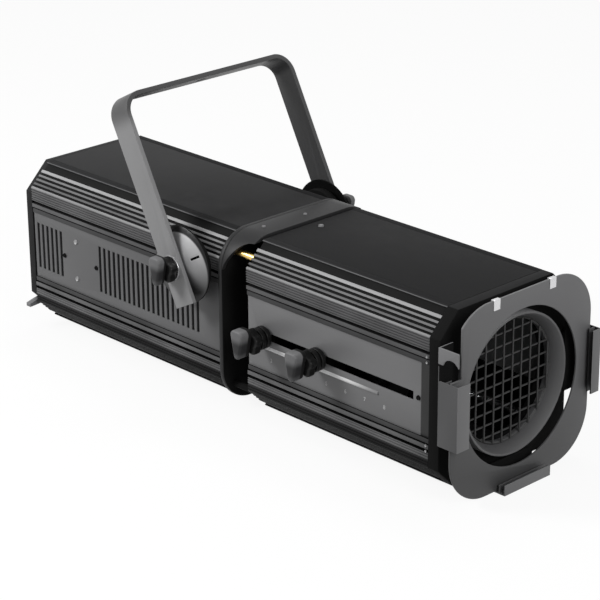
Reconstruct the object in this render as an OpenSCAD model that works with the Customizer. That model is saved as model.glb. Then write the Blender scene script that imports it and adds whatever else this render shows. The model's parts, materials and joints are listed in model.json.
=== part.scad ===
// Follow spot: a zoom profile lantern built from finned corner rails.
// A lamp house and a lens tube share one eight-sided section and meet at an
// open gate. Two lenses slide in the tube, a yoke tilts on friction discs and
// a colour frame lifts out of runners at the front.
// The beam leaves along +X, the lens knobs are on the -Y side and Z is up.

/* [Body section] */
// Width and height of the body across its flat sides
sec_w = 225; // [215:1:240]
// Leg of the sloping corner along each side
chamfer = 30; // [26:1:33]
// Wall thickness of a corner rail
rail_t = 9.5; // [9:0.5:11]
// Depth of the valleys between the ribs of the sloping corner
rib_d = 3; // [2:0.5:4]
// Number of fine grooves in the upright band of a rail
fine_n = 5; // [3:1:6]
// Height of the deep groove above the beam axis
groove_z = 62; // [58:0.5:63]
// Thickness of the side panels
panel_t = 2; // [1.5:0.1:2.5]
// Thickness of the top and bottom covers
cover_t = 2.5; // [2:0.1:3.5]

/* [Lengths along the beam] */
// Length of the lamp house rails
house_l = 382; // [366:1:420]
// Depth of the rear cover
rear_l = 12; // [9:1:20]
// Gap between the rear cover and the lamp house
rear_gap = 3; // [1.5:0.5:5]
// Thickness of the collar in front of the lamp house
collar_t = 8; // [5:0.5:12]
// Length of the open gate between the collar and the lens tube
gate_l = 42; // [36:1:50]
// Length of the lens tube rails
tube_l = 310; // [300:1:340]
// Thickness of the front cap
cap_t = 17; // [14:0.5:20]
// Distance of the cable gland below the beam axis
gland_drop = 70; // [60:1:80]

/* [Louvres] */
// Width of one louvre slot
louvre_w = 5; // [3:0.5:5.5]
// Height of the louvre slots
louvre_h = 65; // [50:1:75]
// Spacing of the louvre slots
louvre_p = 9.8; // [8:0.1:10.5]
// Slots in the front group
louvre_front_n = 21; // [12:1:22]
// Slots in the rear group
louvre_rear_n = 6; // [3:1:7]

/* [Lamp and gate] */
// Radius of the reflector's rim
reflector_r = 88; // [70:1:92]
// Length of the reflector
reflector_l = 122; // [100:1:150]
// Distance from the collar back to the lamp's bulkhead
lamp_back = 284; // [270:1:300]
// Width and height of the dark box inside the gate
gate_box_w = 145; // [130:1:155]
// Radius of the gate aperture
gate_r = 38; // [25:1:50]
// Radius of the brass spacer studs
stud_r = 4.5; // [3.5:0.5:5]

/* [Lenses] */
// Radius of each lens
lens_r = 73; // [60:1:75]
// Radius of the curved face of a lens
lens_curve = 150; // [120:1:250]
// Place of the rear lens knob in front of the tube's rear end
knob_rear_x = 31; // [28:1:36]
// Place of the front lens knob in front of the tube's rear end
knob_front_x = 127; // [121:1:135]
// Length of the bright scale rail beside the slot
scale_l = 194; // [150:1:215]
// Distance of the scale rail below the slot's middle
scale_drop = 15; // [14:0.5:20]
// Radius of the guide rods
rod_r = 5; // [4:0.5:6]
// Height of the slot that the lens knobs run in
slot_h = 11; // [10:0.5:13]

/* [Knobs] */
// Radius of a knob's lobed grip
knob_r = 17; // [16:0.5:20]
// Thickness of the lobed grip
knob_t = 13; // [10:0.5:15]
// Depth of the three-cornered cap on a lens knob
cap_d = 19; // [13:0.5:22]
// Depth of the three-cornered cap on a tilt knob
tilt_cap_d = 14; // [9:0.5:16]

/* [Yoke] */
// Width of the yoke bar
bar_w = 36; // [30:1:40]
// Thickness of the yoke bar
bar_t = 6; // [5:0.5:8]
// Distance from the tilt axis to the middle of the yoke's cross bar
yoke_r = 222; // [200:1:260]
// Length of the yoke arms past the tilt axis
yoke_tail = 51; // [35:1:60]
// Inside radius of the yoke's bends
bend_r = 22; // [14:1:30]
// Backward lean of the yoke
yoke_tilt = 27.5; // [0:0.5:40]
// Distance of the tilt axis behind the collar
pivot_back = 54; // [50:1:70]
// Height of the tilt axis above the beam axis
pivot_z = 63; // [55:1:66]
// Radius of the hole for the hanging clamp's bolt
hook_r = 6.5; // [5:0.5:8]

/* [Tilt discs] */
// Radius of a tilt disc
disc_r = 51; // [46:1:58]
// Rise of the domed tilt disc
disc_rise = 11; // [8:0.5:12]
// Radius of the drum behind a tilt disc
drum_r = 40; // [32:1:44]
// Thickness of the drum behind a tilt disc
drum_t = 11.5; // [10:0.5:12]
// Radius of the tilt stud
tilt_stud_r = 6; // [5:0.5:8]

/* [Front] */
// Width and height of the colour frame
frame_w = 245; // [235:1:255]
// Thickness of the colour frame
frame_t = 3; // [2:0.5:5]
// Corner radius of the colour frame
frame_corner = 62; // [50:1:66]
// Radius of the colour frame's opening
frame_open_r = 99; // [88:0.5:101]
// Depth of the finger notch in the colour frame's near edge
frame_notch = 17; // [0:1:20]
// Radius of the safety mesh
mesh_r = 79; // [70:1:82]
// Spacing of the safety mesh
mesh_p = 15.8; // [10:0.1:18]
// Length of the ring that stands round the mesh
ring_l = 19; // [14:0.5:20]
// Length of each frame runner
runner_l = 82; // [60:1:90]
// Depth of a frame runner along the beam
runner_d = 31; // [30:1:38]
// Sheet thickness of the frame runners
runner_t = 2; // [1.5:0.1:2.5]
// Height of the frame catch above the beam axis
catch_z = 72; // [66:1:76]
// Distance of the frame's closing clips from its middle
clip_y = 49; // [30:1:58]

/* [Hidden] */
$fn = 64;
h = sec_w / 2;
inner = h - rail_t;
// An even wall round the sloping corner
inner_cut = chamfer - rail_t * (2 - sqrt(2));
fine_d = 1.2;
groove_w = 4.5;
groove_d = rail_t - 3;
lip_w = 5;
seam_w = 2;
strip_z = groove_z - groove_w / 2 - lip_w - seam_w - 6;
panel_y = h - 3;
panel_hold = 4;
panel_edge = strip_z + panel_hold;
cover_edge = h - chamfer - 10.5;
shelf = 12;

house_x = -gate_l - collar_t;
house_rear = house_x - house_l;
rear_x = house_rear - rear_gap - rear_l;
gland_l = 20;
gland_hole_r = 8;
cap_x = tube_l + cap_t;
spacer_l = 10;
runner_x = cap_x + spacer_l;
runner_front = runner_x + runner_d;

pivot_x = house_x - pivot_back;
run_gap = 0.3;
arm_y = h + drum_t + disc_rise + 2.7 + run_gap;
arm_out = arm_y + bar_t;
tilt_fit = 0.05;

frame_x = runner_x + 14.5;
frame_gap = 2;
runner_y = frame_w / 2 + frame_gap;
runner_out = runner_y + runner_t;
base_out = frame_w / 2 + run_gap + runner_t;
lip_in = 21;
lip_far = 15;
spacer_in = h - 5;
spacer_r = 3.5;
foot_z = runner_l / 2 - 8;

rod_y = h - 28.5;
rod_z = -(h - 28.5);
lens_fit = 0.05;
slot_start = 18;
slot_end = tube_l - 27;
block_w = 18;
block_in = h - 9;

// The finished part stands with its base at zero, centred on its own length
shift_x = -(rear_x - gland_l + runner_front) / 2;
axis_z = base_out;

// Shared placing and shapes

module place() {
  translate([shift_x, 0, axis_z]) children();
}

// Extrudes a section drawn in Y and Z forward from x
module along_x(x, l) {
  translate([x, 0, 0]) rotate([90, 0, 90]) linear_extrude(l) children();
}

// A cylinder along the beam
module rod_x(x, l, r, y = 0, z = 0) {
  translate([x, y, z]) rotate([0, 90, 0]) cylinder(h = l, r = r);
}

// A cylinder pointing out of the near side (side -1) or the far side (side 1)
module rod_y_out(side, x, z, y0, l, r) {
  translate([x, side * y0, z]) rotate([-90 * side, 0, 0]) cylinder(h = l, r = r);
}

// A square with its four corners cut off
module octagon(half, cut) {
  k = half - cut;
  polygon([
    [half, -k], [half, k], [k, half], [-k, half],
    [-half, k], [-half, -k], [-k, -half], [k, -half]
  ]);
}

module inner_octagon() {
  octagon(inner, inner_cut);
}

// A square plate with round corners, standing across the beam
module round_plate(x, l, half, r) {
  k = half - r;
  union() {
    along_x(x, l) square([2 * half, 2 * k], center = true);
    along_x(x, l) square([2 * k, 2 * half], center = true);
    for (y = [-k, k], z = [-k, k]) rod_x(x, l, r, y, z);
  }
}

// Corner rails

// A point on the sloping face, t from its top edge to its side edge, w below it
function slope_pt(t, w) = [
  h - chamfer + chamfer * t - w / sqrt(2),
  h - chamfer * t - w / sqrt(2)
];

function rib_pts(t, half_t) = [
  slope_pt(t - half_t, rib_d), slope_pt(t - half_t, 0),
  slope_pt(t + half_t, 0), slope_pt(t + half_t, rib_d)
];

fine_p = (h - chamfer - groove_z - groove_w / 2) / (fine_n + 0.4);
fine_w = 0.35 * fine_p;

function fine_pts(k) = let (z = h - chamfer - fine_p * (k + 0.7)) [
  [h, z], [h - fine_d, z], [h - fine_d, z - fine_w], [h, z - fine_w]
];

// Section of the rail at +Y and +Z: cover shelf, ribbed slope, fine ribs,
// deep groove, lip, and the slot that holds the side panel
module rail_section() {
  groove_top = groove_z + groove_w / 2;
  groove_low = groove_z - groove_w / 2;
  lip_low = groove_low - lip_w;
  polygon(concat(
    [[cover_edge - shelf, inner], [cover_edge - shelf, h - cover_t]],
    [[cover_edge, h - cover_t], [cover_edge, h]],
    [slope_pt(0, 0), slope_pt(0.05, 0), slope_pt(0.05, rib_d)],
    rib_pts(0.36, 0.05), rib_pts(0.53, 0.035), rib_pts(0.68, 0.035), rib_pts(0.83, 0.035),
    [slope_pt(0.94, rib_d), slope_pt(0.94, 0), slope_pt(1, 0)],
    [for (k = [0 : fine_n - 1]) each fine_pts(k)],
    [[h, groove_top], [h - groove_d, groove_top], [h - groove_d, groove_low], [h, groove_low]],
    [[h, lip_low], [h - 4, lip_low], [h - 4, lip_low - seam_w], [h - 1.2, lip_low - seam_w]],
    [[h - 1.2, strip_z], [panel_y, strip_z], [panel_y, panel_edge]],
    [[panel_y - panel_t, panel_edge], [panel_y - panel_t, strip_z], [inner, strip_z]],
    [[inner, inner - inner_cut], [inner - inner_cut, inner]]
  ));
}

module rail(x, l, side, up) {
  mirror([0, side < 0 ? 1 : 0, 0]) mirror([0, 0, up < 0 ? 1 : 0]) along_x(x, l) rail_section();
}

module house_rail(side, up) {
  color([0.09, 0.09, 0.095]) place() rail(house_rear, house_l, side, up);
}

module tube_rail(side, up) {
  color([0.09, 0.09, 0.095]) place() rail(0, tube_l, side, up);
}

// Flat covers lie on the rails' shelves, at the top (up 1) and the bottom
module flat_cover(x, l, up) {
  mirror([0, 0, up < 0 ? 1 : 0]) translate([x, -cover_edge, h - cover_t])
    cube([l, 2 * cover_edge, cover_t]);
}

module house_top_cover() {
  color([0.06, 0.06, 0.065]) place() flat_cover(house_rear, house_l, 1);
}

module house_bottom_cover() {
  color([0.06, 0.06, 0.065]) place() flat_cover(house_rear, house_l, -1);
}

module tube_top_cover() {
  color([0.06, 0.06, 0.065]) place() flat_cover(0, tube_l, 1);
}

module tube_bottom_cover() {
  color([0.06, 0.06, 0.065]) place() flat_cover(0, tube_l, -1);
}

// A side panel that slides into the rails' slots
module side_panel(x, l, side) {
  mirror([0, side > 0 ? 1 : 0, 0]) translate([x, -panel_y, -panel_edge])
    cube([l, panel_t, 2 * panel_edge]);
}

module louvre_row(x, n) {
  for (k = [0 : n - 1])
    translate([x + k * louvre_p - louvre_w / 2, -h, -louvre_h / 2])
      cube([louvre_w, sec_w, louvre_h]);
}

module house_panel(side) {
  color([0.13, 0.13, 0.135]) place() difference() {
    side_panel(house_rear, house_l, side);
    louvre_row(house_x - 46 - louvre_p * (louvre_front_n - 1), louvre_front_n);
    louvre_row(house_rear + 8, louvre_rear_n);
  }
}

module tube_panel_near() {
  color([0.13, 0.13, 0.135]) place() difference() {
    side_panel(0, tube_l, -1);
    translate([slot_start, -h, -slot_h / 2]) cube([slot_end - slot_start, h / 2, slot_h]);
  }
}

module tube_panel_far() {
  color([0.13, 0.13, 0.135]) place() side_panel(0, tube_l, 1);
}

// Rear of the lamp house

// A shallow pan, a little smaller than the body, with a rim that seats inside the rails
rear_half = h - 2.5;
rear_cut = chamfer + 6;

module rear_cover() {
  skin = 2.5;
  color([0.09, 0.09, 0.095]) place() difference() {
    union() {
      difference() {
        along_x(rear_x, rear_l) octagon(rear_half, rear_cut);
        along_x(rear_x + skin, rear_l) octagon(rear_half - skin, rear_cut - skin * (2 - sqrt(2)));
      }
      difference() {
        along_x(rear_x + skin / 2, rear_l + rear_gap + 14) inner_octagon();
        along_x(rear_x + skin, rear_l + rear_gap + 20) octagon(inner - 3, inner_cut - 1.8);
      }
    }
    for (k = [-3 : 3])
      translate([rear_x - 1, k * 2 * louvre_p - louvre_w / 2, -louvre_h / 2 + 20])
        cube([skin + 2, louvre_w, louvre_h]);
    rod_x(rear_x - 1, skin + 2, gland_hole_r, 0, -gland_drop);
  }
}

// A point on the rear cover's lower near slope, w below the beam axis
function rear_slope_pt(w) = [w + rear_cut - 2 * rear_half, -w];

// A spring tongue on the sloping corner, pulled to free the rear cover
module cover_catch() {
  top = rear_half - rear_cut + 8;
  tip = h + 9;
  color([0.45, 0.45, 0.46]) place() along_x(rear_x + 2, 9)
    polygon([
      rear_slope_pt(top), rear_slope_pt(top + 8),
      [-tip, -top - 10], [-tip, -top - 5]
    ]);
}

module cable_gland() {
  color([0.05, 0.05, 0.05]) place() difference() {
    union() {
      rod_x(rear_x - 7, 7, 13, 0, -gland_drop, $fn = 6);
      rod_x(rear_x - gland_l, gland_l, 9.5, 0, -gland_drop);
      rod_x(rear_x - 1, 6, gland_hole_r - run_gap, 0, -gland_drop);
    }
    rod_x(rear_x - gland_l - 1, gland_l + 10, 4.5, 0, -gland_drop);
  }
}

// Light source

lamp_x = house_x - lamp_back;
bulk_t = 4;

module lamp_bulkhead() {
  color([0.55, 0.55, 0.56]) place() difference() {
    along_x(lamp_x, bulk_t) inner_octagon();
    rod_x(lamp_x - 1, bulk_t + 2, 16.3);
    for (y = [-70, 70], z = [-70, 70]) rod_x(lamp_x - 1, bulk_t + 2, 9, y, z);
  }
}

module lampholder() {
  color([0.86, 0.84, 0.8]) place() union() {
    rod_x(lamp_x - 34, 42, 16);
    rod_x(lamp_x - 34, 34, 21);
  }
}

module lamp() {
  tip = lamp_x + 60;
  color([0.8, 0.86, 0.9, 0.5]) place() union() {
    rod_x(lamp_x + 8, 14, 8);
    rod_x(lamp_x + 20, tip - lamp_x - 20, 12);
    translate([tip, 0, 0]) sphere(r = 12);
  }
}

// Ellipsoidal bowl, seated on the bulkhead by a flanged neck
function bowl_pt(a, grow) = [
  (reflector_r + grow) * sin(a),
  (reflector_l + 30 + grow) * (1 - cos(a))
];

module reflector() {
  a0 = 16;
  step = (78 - a0) / 14;
  color([0.82, 0.83, 0.85]) place() translate([lamp_x + bulk_t, 0, 0]) rotate([0, 90, 0]) union() {
    rotate_extrude() polygon(concat(
      [for (k = [0 : 14]) bowl_pt(a0 + k * step, 0)],
      [for (k = [14 : -1 : 0]) bowl_pt(a0 + k * step, 2)]
    ));
    difference() {
      cylinder(h = 8, r = 36);
      translate([0, 0, -1]) cylinder(h = 10, r = 24);
    }
  }
}

// Gate

// A round-cornered flange that stands a little proud of the rails
collar_corner = chamfer + 18;
gate_box_t = 2.5;
front_gap = 4;
gate_plate_r = gate_box_w / 2 - gate_box_t - 4;

module gate_collar() {
  color([0.03, 0.03, 0.03]) place() difference() {
    round_plate(house_x, collar_t, h + 3, collar_corner);
    rod_x(house_x - 1, collar_t + 2, gate_plate_r - 8);
  }
}

module gate_plate() {
  color([0.5, 0.5, 0.51]) place() difference() {
    rod_x(-gate_l, 3, gate_plate_r);
    rod_x(-gate_l - 1, 5, gate_r);
  }
}

module gate_box() {
  color([0.02, 0.02, 0.02]) place() difference() {
    along_x(-gate_l, gate_l) square(gate_box_w, center = true);
    along_x(-gate_l - 1, gate_l + 2) square(gate_box_w - 2 * gate_box_t, center = true);
  }
}

// A saddle carries the collar's rim forward over the gate, its ends swept back
module gate_saddle() {
  saddle_t = 6;
  saddle_l = gate_l - front_gap;
  sweep = [for (k = [0 : 8]) [saddle_l * k / 8 - gate_l, h - 5 - 39 * pow(1 - k / 8, 2.5)]];
  intersection() {
    difference() {
      round_plate(-gate_l, saddle_l, h + 3, collar_corner);
      round_plate(-gate_l - 1, gate_l + 2, h + 3 - saddle_t, collar_corner - saddle_t);
    }
    translate([0, h + 5, 0]) rotate([90, 0, 0]) linear_extrude(sec_w + 10)
      polygon(concat(sweep, [[-front_gap, h + 5], [-gate_l, h + 5]]));
  }
}

module gate_bridges() {
  foot_y = h / 2;
  color([0.06, 0.06, 0.065]) place() {
    gate_saddle();
    translate([-gate_l, -foot_y, -h]) cube([gate_l - front_gap, 2 * foot_y, 12]);
  }
}

module spacer_studs() {
  color([0.8, 0.6, 0.25]) place()
    for (side = [-1, 1], up = [-1, 1])
      rod_x(-gate_l, gate_l, stud_r, side * (h - 17), up * (h - 22));
}

// Lens tube

module tube_rear_plate() {
  color([0.05, 0.05, 0.05]) place() difference() {
    along_x(0, 4) inner_octagon();
    rod_x(-1, 6, 80);
  }
}

module guide_rods() {
  color([0.75, 0.75, 0.76]) place()
    for (side = [-1, 1]) rod_x(4, tube_l - 4, rod_r, side * rod_y, rod_z);
}

module scale_rail() {
  color([0.85, 0.85, 0.86]) place()
    translate([slot_start + 14, -panel_y - 1.5, -scale_drop - 2]) cube([scale_l, 1.5, 4]);
}

// A lens carrier: a plate on two guide bushes, with a block for the knob's stud
module lens_carrier(x) {
  color([0.07, 0.07, 0.07]) place() difference() {
    union() {
      along_x(x - 4, 8) octagon(h - 17, chamfer + 26);
      for (side = [-1, 1]) {
        rod_x(x - 12, 24, rod_r + 4, side * rod_y, rod_z);
        translate([x - 4, side * (rod_y - 14) - 7, rod_z]) cube([8, 14, 30]);
      }
      translate([x - block_w / 2, -block_in, -block_w / 2]) cube([block_w, 12, block_w]);
    }
    rod_x(x - 13, 26, lens_r - 3);
    rod_x(x - 1, 14, lens_r + 0.2);
    for (side = [-1, 1]) rod_x(x - 13, 26, rod_r + lens_fit, side * rod_y, rod_z);
    rod_y_out(-1, x, 0, block_in - 10, 20, 4 + lens_fit);
  }
}

// Flat at the back, domed at the front, seated in the carrier's step
module lens(x) {
  sag = lens_curve - sqrt(lens_curve * lens_curve - lens_r * lens_r);
  color([0.75, 0.85, 0.9, 0.4]) place() union() {
    rod_x(x - 1, 5, lens_r);
    intersection() {
      translate([x + 4 + sag - lens_curve, 0, 0]) sphere(r = lens_curve, $fn = 128);
      rod_x(x + 3, sag + 2, lens_r);
    }
  }
}

// Knobs

module lobed_grip(side, x, z, y0) {
  lobe_r = 5;
  union() {
    rod_y_out(side, x, z, y0, knob_t, knob_r - 3.5);
    for (k = [0 : 4])
      rod_y_out(side, x + (knob_r - lobe_r) * sin(72 * k), z + (knob_r - lobe_r) * cos(72 * k),
        y0, knob_t, lobe_r);
  }
}

// A narrow grip with three rounded corners, one of them down
module knob_cap(side, x, z, y0, d) {
  color([0.42, 0.42, 0.43]) place() hull() {
    for (dx = [-4, 4]) rod_y_out(side, x + dx, z + 14, y0, d, 6.5, $fn = 32);
    rod_y_out(side, x, z - 12, y0, d, 5, $fn = 32);
  }
}

lens_grip_y = panel_y + 18;

module lens_cap(x) {
  knob_cap(-1, x, 0, lens_grip_y + knob_t, cap_d);
}

module lens_knob(x) {
  stud_in = block_in - 8;
  color([0.04, 0.04, 0.04]) place() union() {
    rod_y_out(-1, x, 0, stud_in, lens_grip_y - stud_in + 1, 4);
    rod_y_out(-1, x, 0, panel_y + run_gap, 3, 11);
    rod_y_out(-1, x, 0, panel_y + 2.5, lens_grip_y - panel_y - 2.5, 14.5);
    lobed_grip(-1, x, 0, lens_grip_y);
  }
}

washer_t = 2;
washer_r = 16;
tilt_grip_y = arm_out + washer_t + run_gap;

module tilt_cap(side) {
  knob_cap(side, pivot_x, pivot_z, tilt_grip_y + knob_t, tilt_cap_d);
}

module tilt_knob(side) {
  color([0.04, 0.04, 0.04]) place() difference() {
    lobed_grip(side, pivot_x, pivot_z, tilt_grip_y);
    rod_y_out(side, pivot_x, pivot_z, tilt_grip_y - 1, knob_t, tilt_stud_r + tilt_fit);
  }
}

// Tilt hubs, discs and yoke

// Drum, boss and stud turned in one piece
module tilt_hub(side) {
  boss_end = arm_y - run_gap - 2.2;
  color([0.03, 0.03, 0.03]) place() union() {
    rod_y_out(side, pivot_x, pivot_z, h, drum_t, drum_r);
    rod_y_out(side, pivot_x, pivot_z, h, boss_end - h, 12);
    rod_y_out(side, pivot_x, pivot_z, h, tilt_grip_y + knob_t - 2 - h, tilt_stud_r);
  }
}

// A domed sheet with a slot for reading the tilt
module tilt_disc(side) {
  curve = (disc_r * disc_r + disc_rise * disc_rise) / (2 * disc_rise);
  apex = arm_y - run_gap;
  color([0.5, 0.5, 0.5]) place() difference() {
    intersection() {
      difference() {
        translate([pivot_x, side * (apex - curve), pivot_z]) sphere(r = curve, $fn = 128);
        translate([pivot_x, side * (apex - curve), pivot_z]) sphere(r = curve - 2, $fn = 128);
      }
      rod_y_out(side, pivot_x, pivot_z, h + 2, disc_rise + drum_t + 4, disc_r);
    }
    rod_y_out(side, pivot_x, pivot_z, h, 60, tilt_stud_r + 0.3);
    translate([pivot_x, side * h, pivot_z]) rotate([0, -30, 0])
      translate([disc_r * 0.58, -50, -1.5]) cube([disc_r * 0.26, 100, 3]);
  }
}

// One flat bar bent into a U, drawn upright about the tilt axis
module yoke() {
  top = yoke_r + bar_t / 2;
  bend = bend_r + bar_t;
  leg = top - bend + yoke_tail;
  color([0.16, 0.16, 0.165]) place() translate([pivot_x, 0, pivot_z]) rotate([0, -yoke_tilt, 0])
    difference() {
      union() {
        for (side = [-1, 1]) {
          translate([-bar_w / 2, side > 0 ? arm_y : -arm_out, -yoke_tail]) cube([bar_w, bar_t, leg]);
          translate([0, side * (arm_out - bend), top - bend]) mirror([0, side < 0 ? 1 : 0, 0])
            rotate([90, 0, 90]) translate([0, 0, -bar_w / 2]) rotate_extrude(angle = 90)
              translate([bend_r, 0]) square([bar_t, bar_w]);
        }
        translate([-bar_w / 2, -arm_out + bend, top - bar_t])
          cube([bar_w, 2 * (arm_out - bend), bar_t]);
      }
      rotate([90, 0, 0]) cylinder(h = 3 * arm_out, r = tilt_stud_r + tilt_fit, center = true);
      translate([0, 0, top - 2 * bar_t]) cylinder(h = 3 * bar_t, r = hook_r);
    }
}

module tilt_washers() {
  color([0.7, 0.7, 0.71]) place()
    for (side = [-1, 1]) difference() {
      rod_y_out(side, pivot_x, pivot_z, arm_out, washer_t, washer_r);
      rod_y_out(side, pivot_x, pivot_z, arm_out - 1, washer_t + 2, tilt_stud_r + 0.3);
    }
}

// Front end

mesh_x = cap_x + 3;
mesh_seat = 2.5;
mesh_t = 1.6;
spigot = 4;

module front_cap() {
  color([0.1, 0.1, 0.105]) place() difference() {
    along_x(tube_l, cap_t) octagon(h, chamfer);
    rod_x(tube_l - 1, cap_t + 2, mesh_r);
    rod_x(cap_x - spigot, 6, mesh_r + 5);
  }
}

// Crossed wires in a flat rim, pressed into the ring against its step
module safety_mesh() {
  wire = mesh_t;
  reach = mesh_r - mesh_seat;
  n = floor(reach / mesh_p);
  m = floor(reach / mesh_p + 0.5);
  color([0.3, 0.3, 0.31]) place() intersection() {
    union() {
      for (k = [-n : n])
        translate([mesh_x, -mesh_r, k * mesh_p - wire / 2]) cube([wire, 2 * mesh_r, wire]);
      for (k = [-m : m - 1])
        translate([mesh_x, (k + 0.5) * mesh_p - wire / 2, -mesh_r]) cube([wire, wire, 2 * mesh_r]);
      difference() {
        rod_x(mesh_x, wire, mesh_r);
        rod_x(mesh_x - 1, wire + 2, mesh_r - mesh_seat);
      }
    }
    rod_x(mesh_x - 1, wire + 2, mesh_r);
  }
}

// A round nose with a spigot in the cap, a step for the mesh and a flared mouth
module mesh_ring() {
  ring_r = mesh_r + 10;
  flare_x = mesh_x + mesh_t;
  flare_l = cap_x + ring_l - flare_x;
  color([0.14, 0.14, 0.145]) place() difference() {
    union() {
      rod_x(cap_x - spigot, spigot + 1, mesh_r + 4.7);
      rod_x(cap_x, ring_l, ring_r);
    }
    rod_x(cap_x - spigot - 1, ring_l + spigot + 2, mesh_r - mesh_seat);
    rod_x(mesh_x, mesh_t + 1, mesh_r + 0.1);
    translate([flare_x, 0, 0]) rotate([0, 90, 0])
      cylinder(h = flare_l, r1 = mesh_r + 0.1, r2 = ring_r - 2.5);
    rod_x(cap_x + ring_l - 0.01, 1, ring_r - 2.5);
  }
}

// Depth of a runner's foot, past its spacers
function foot_d(out) = out - spacer_in + spacer_r + 9;

// Section of a runner in X and depth: foot, back guide, divider and front lip
module runner_section(out, lip) {
  square([runner_d, runner_t]);
  square([runner_t, foot_d(out)]);
  translate([9.5, 0]) square([1.5, 12]);
  translate([21, 0]) square([1.5, 12]);
  translate([runner_d - runner_t, 0]) square([runner_t, lip]);
}

// A side runner, its foot carried up to the catch
module side_runner(lip) {
  translate([runner_x, -runner_out, -runner_l / 2]) union() {
    linear_extrude(runner_l) runner_section(runner_out, lip);
    cube([runner_t, foot_d(runner_out), runner_l / 2 + catch_z - 12]);
  }
}

module runner_near() {
  color([0.13, 0.13, 0.135]) place() side_runner(lip_in);
}

module runner_far() {
  color([0.13, 0.13, 0.135]) place() mirror([0, 1, 0]) side_runner(lip_far);
}

module runner_bottom() {
  color([0.13, 0.13, 0.135]) place() translate([runner_x, runner_l / 2, -base_out])
    rotate([90, 0, 0]) linear_extrude(runner_l) runner_section(base_out, 14);
}

// Short posts that hold the runners and the catch off the front cap
module runner_spacers() {
  color([0.05, 0.05, 0.05]) place() {
    for (side = [-1, 1], z = [-foot_z, foot_z]) rod_x(cap_x, spacer_l, spacer_r, side * spacer_in, z);
    for (y = [-foot_z, foot_z]) rod_x(cap_x, spacer_l, spacer_r, y, -spacer_in);
    rod_x(cap_x, spacer_l, spacer_r, -spacer_in, catch_z);
  }
}

// A short arched keeper above the near runner
module frame_catch() {
  tall = 20;
  color([0.3, 0.3, 0.31]) place() difference() {
    translate([runner_x, -runner_out, catch_z - tall / 2]) linear_extrude(tall) union() {
      square([runner_d, runner_t]);
      square([runner_t, runner_out - spacer_in + spacer_r + 0.5]);
    }
    rod_y_out(-1, runner_x + runner_d / 2 + 4, catch_z - tall / 2 - 4, h, 40, 13);
  }
}

// A rounded square sheet with a round opening, notched beside the catch
module colour_frame() {
  color([0.13, 0.13, 0.135]) place() difference() {
    round_plate(frame_x, frame_t, frame_w / 2, frame_corner);
    rod_x(frame_x - 1, frame_t + 2, frame_open_r);
    translate([frame_x - 1, -frame_w / 2 - 1, runner_l / 2])
      cube([frame_t + 2, frame_notch + 1, frame_w / 2]);
  }
}

// Spring clips that close the colour frame's two leaves along its top edge
module frame_clips() {
  clip_w = 11;
  clip_h = 12;
  top = frame_w / 2;
  color([0.8, 0.8, 0.8]) place()
    for (y = [-clip_y, clip_y]) translate([frame_x - 1, y - clip_w / 2, top - clip_h]) {
      cube([1, clip_w, clip_h + 1]);
      translate([0, 0, clip_h]) cube([frame_t + 2, clip_w, 1]);
      translate([frame_t + 1, 0, 0]) cube([1, clip_w, clip_h + 1]);
    }
}

house_rail(-1, 1);  // house_rail_near_top
house_rail(1, 1);  // house_rail_far_top
house_rail(-1, -1);  // house_rail_near_bottom
house_rail(1, -1);  // house_rail_far_bottom
house_top_cover();
house_bottom_cover();
house_panel(-1);  // house_panel_near
house_panel(1);  // house_panel_far
rear_cover();
cover_catch();
cable_gland();
lamp_bulkhead();
lampholder();
lamp();
reflector();
gate_collar();
gate_plate();
gate_box();
gate_bridges();
spacer_studs();
tube_rail(-1, 1);  // tube_rail_near_top
tube_rail(1, 1);  // tube_rail_far_top
tube_rail(-1, -1);  // tube_rail_near_bottom
tube_rail(1, -1);  // tube_rail_far_bottom
tube_top_cover();
tube_bottom_cover();
tube_panel_near();
tube_panel_far();
tube_rear_plate();
guide_rods();
scale_rail();
front_cap();
safety_mesh();
mesh_ring();
runner_near();
runner_far();
runner_bottom();
runner_spacers();
frame_catch();
tilt_hub(-1);  // tilt_hub_near
tilt_hub(1);  // tilt_hub_far
tilt_disc(-1);  // tilt_disc_near
tilt_disc(1);  // tilt_disc_far
yoke();
tilt_washers();
tilt_knob(-1);  // tilt_knob_near
tilt_cap(-1);  // tilt_cap_near
tilt_knob(1);  // tilt_knob_far
tilt_cap(1);  // tilt_cap_far
lens_carrier(knob_rear_x);  // lens_carrier_rear
lens(knob_rear_x);  // lens_rear
lens_carrier(knob_front_x);  // lens_carrier_front
lens(knob_front_x);  // lens_front
lens_knob(knob_rear_x);  // lens_knob_rear
lens_cap(knob_rear_x);  // lens_cap_rear
lens_knob(knob_front_x);  // lens_knob_front
lens_cap(knob_front_x);  // lens_cap_front
colour_frame();
frame_clips();
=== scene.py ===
import json
import math

import bmesh
import bpy
from mathutils import Matrix, Vector

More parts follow.
